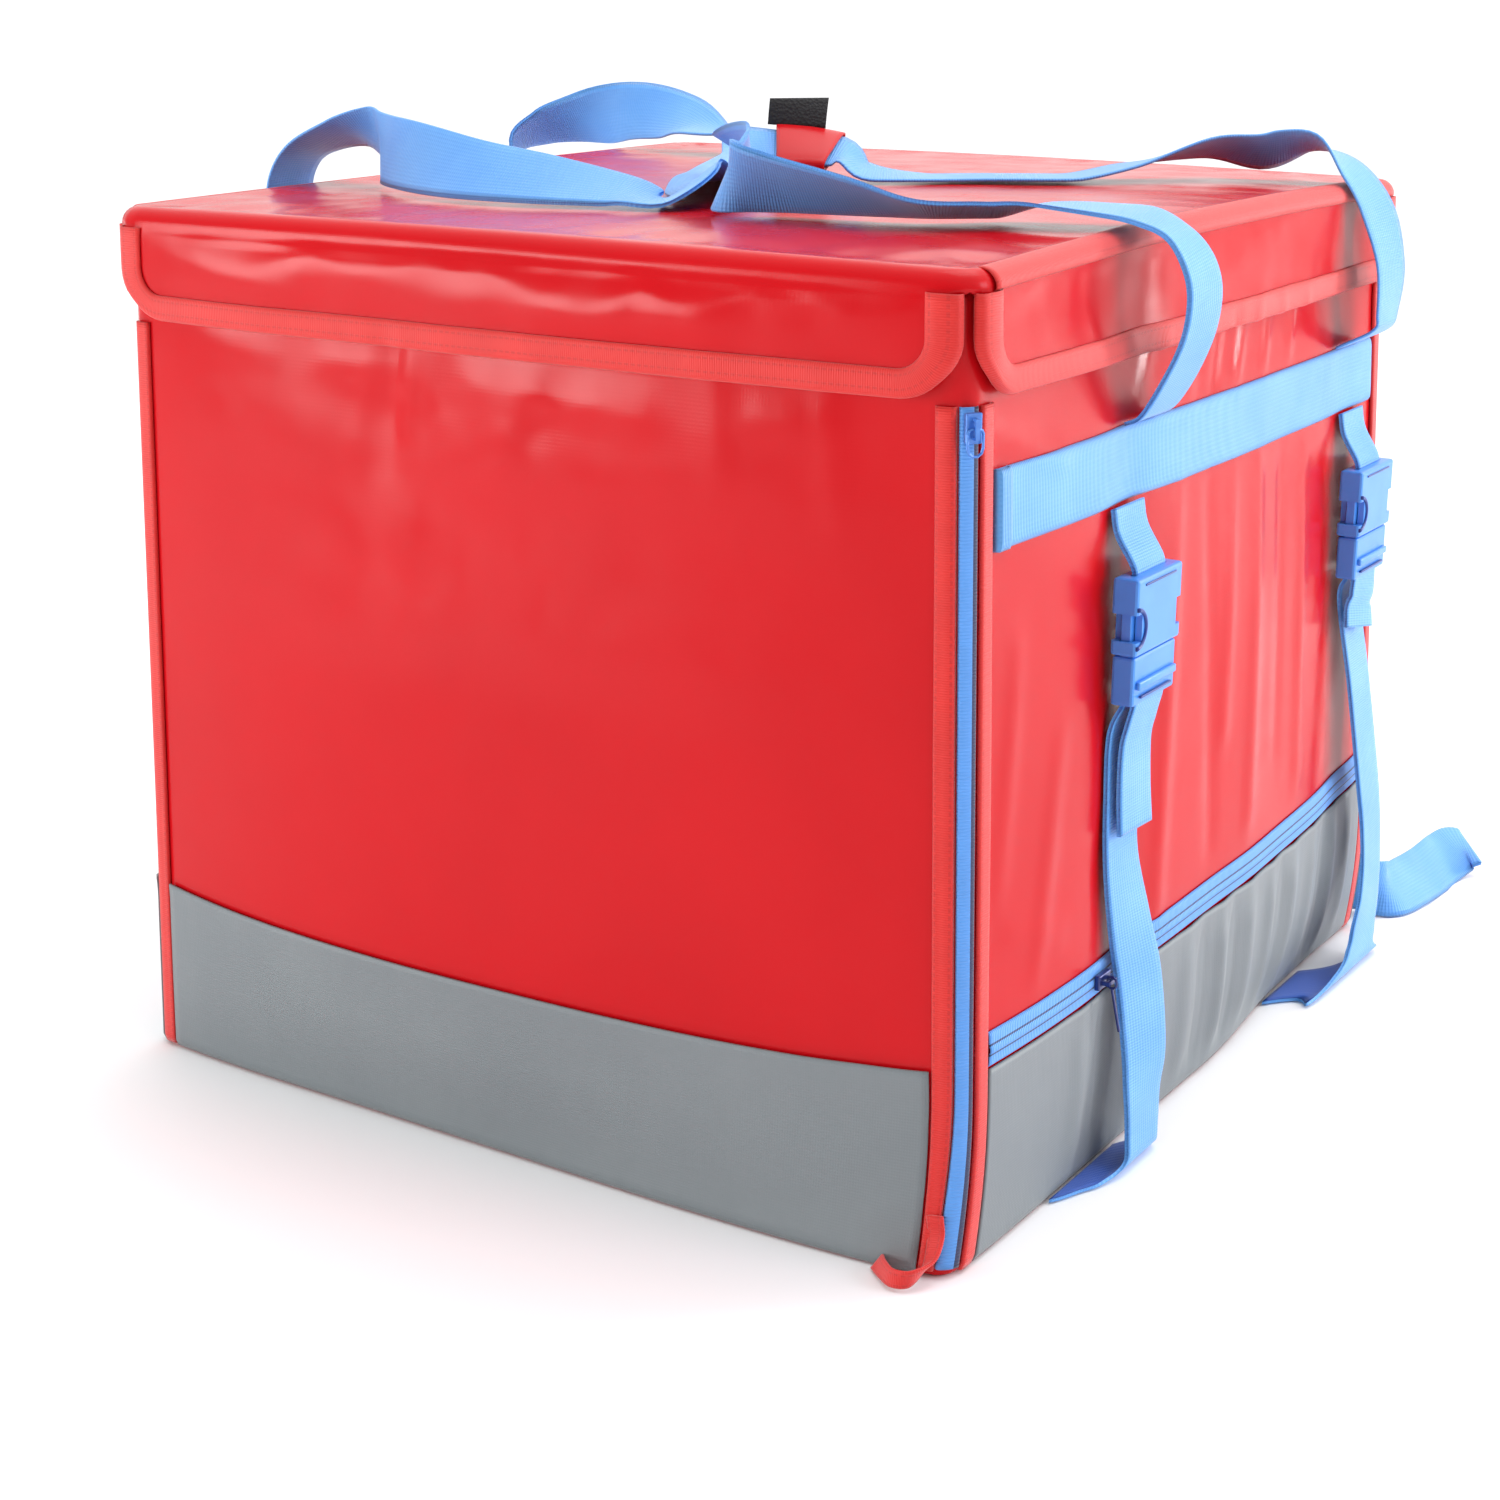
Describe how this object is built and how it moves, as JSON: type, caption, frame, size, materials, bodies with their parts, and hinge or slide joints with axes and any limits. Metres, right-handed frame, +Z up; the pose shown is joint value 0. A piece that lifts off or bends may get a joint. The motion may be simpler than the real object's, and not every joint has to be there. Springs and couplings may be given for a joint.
{
  "type": "insulated delivery backpack",
  "caption": "Soft padded box bag with a lid, carrying loops, buckled shoulder straps and zips down one corner and round the foot; it carries hot or cold food.",
  "frame": {"origin": "middle of the base, on the floor", "axes": "+Z up; +X out of the face that carries the shoulder straps; -Y out of the large plain panel"},
  "size_m": [0.64, 0.7501, 0.5229],
  "materials": {
    "band_hem": "woven webbing",
    "base_band_back": "coated cloth",
    "base_band_front": "coated cloth",
    "base_band_harness": "coated cloth",
    "base_band_left": "coated cloth",
    "base_zip_pull": "painted",
    "base_zip_slider": "painted",
    "base_zip_tape": "woven webbing",
    "body_shell": "glossy coated cloth",
    "buckle_plug_far": "moulded",
    "buckle_plug_near": "moulded",
    "buckle_socket_far": "moulded",
    "buckle_socket_near": "moulded",
    "buckle_webbing_far": "woven webbing",
    "buckle_webbing_near": "woven webbing",
    "corner_zip_pull": "painted",
    "corner_zip_slider": "painted",
    "corner_zip_tape": "woven webbing",
    "floor_tail_strap": "woven webbing",
    "front_binding_foot": "satin woven tape",
    "front_binding_left": "satin woven tape",
    "front_binding_near": "satin woven tape",
    "handle_loop_harness": "woven webbing",
    "handle_loop_side": "woven webbing",
    "handle_wrap": "glossy coated cloth",
    "harness_band": "woven webbing",
    "harness_binding_far": "satin woven tape",
    "harness_binding_near": "satin woven tape",
    "lid": "glossy coated cloth",
    "lid_binding_back": "satin woven tape",
    "lid_binding_front": "satin woven tape",
    "lid_binding_harness": "satin woven tape",
    "lid_binding_left": "satin woven tape",
    "lid_edge_tape_harness": "satin woven tape",
    "lid_edge_tape_left": "satin woven tape",
    "rear_binding": "satin woven tape",
    "shoulder_strap_far": "woven webbing",
    "shoulder_strap_near": "woven webbing",
    "side_band": "woven webbing",
    "strap_tail_far": "woven webbing",
    "strap_tail_near": "woven webbing",
    "wrap_hook_tape": "hook tape"
  },
  "bodies": {
    "bag": {"band_hem": "band_hem", "base_band_back": "base_band_back", "base_band_front": "base_band_front", "base_band_harness": "base_band_harness", "base_band_left": "base_band_left", "base_zip_slider": "base_zip_slider", "base_zip_tape": "base_zip_tape", "body_shell": "body_shell", "buckle_plug_far": "buckle_plug_far", "buckle_plug_near": "buckle_plug_near", "buckle_socket_far": "buckle_socket_far", "buckle_socket_near": "buckle_socket_near", "buckle_webbing_far": "buckle_webbing_far", "buckle_webbing_near": "buckle_webbing_near", "corner_zip_slider": "corner_zip_slider", "corner_zip_tape": "corner_zip_tape", "floor_tail_strap": "floor_tail_strap", "front_binding_foot": "front_binding_foot", "front_binding_left": "front_binding_left", "front_binding_near": "front_binding_near", "handle_loop_harness": "handle_loop_harness", "handle_loop_side": "handle_loop_side", "handle_wrap": "handle_wrap", "harness_band": "harness_band", "harness_binding_far": "harness_binding_far", "harness_binding_near": "harness_binding_near", "lid": "lid", "lid_binding_back": "lid_binding_back", "lid_binding_front": "lid_binding_front", "lid_binding_harness": "lid_binding_harness", "lid_binding_left": "lid_binding_left", "lid_edge_tape_harness": "lid_edge_tape_harness", "lid_edge_tape_left": "lid_edge_tape_left", "rear_binding": "rear_binding", "shoulder_strap_far": "shoulder_strap_far", "shoulder_strap_near": "shoulder_strap_near", "side_band": "side_band", "strap_tail_far": "strap_tail_far", "strap_tail_near": "strap_tail_near", "wrap_hook_tape": "wrap_hook_tape"},
    "corner_pull": {"corner_zip_pull": "corner_zip_pull"},
    "base_pull": {"base_zip_pull": "base_zip_pull"}
  },
  "joints": [
    {"name": "corner_pull_hinge", "type": "hinge", "parent": "bag", "child": "corner_pull", "pos_m": [0.25225, -0.27264, 0.406], "axis": [0.5918, 0.8061, 0.0052], "range_deg": [-120, 0]},
    {"name": "base_pull_hinge", "type": "hinge", "parent": "bag", "child": "base_pull", "pos_m": [0.27281, -0.14338, 0.10533], "axis": [0, 1, 0], "range_deg": [-150, 0]}
  ]
}
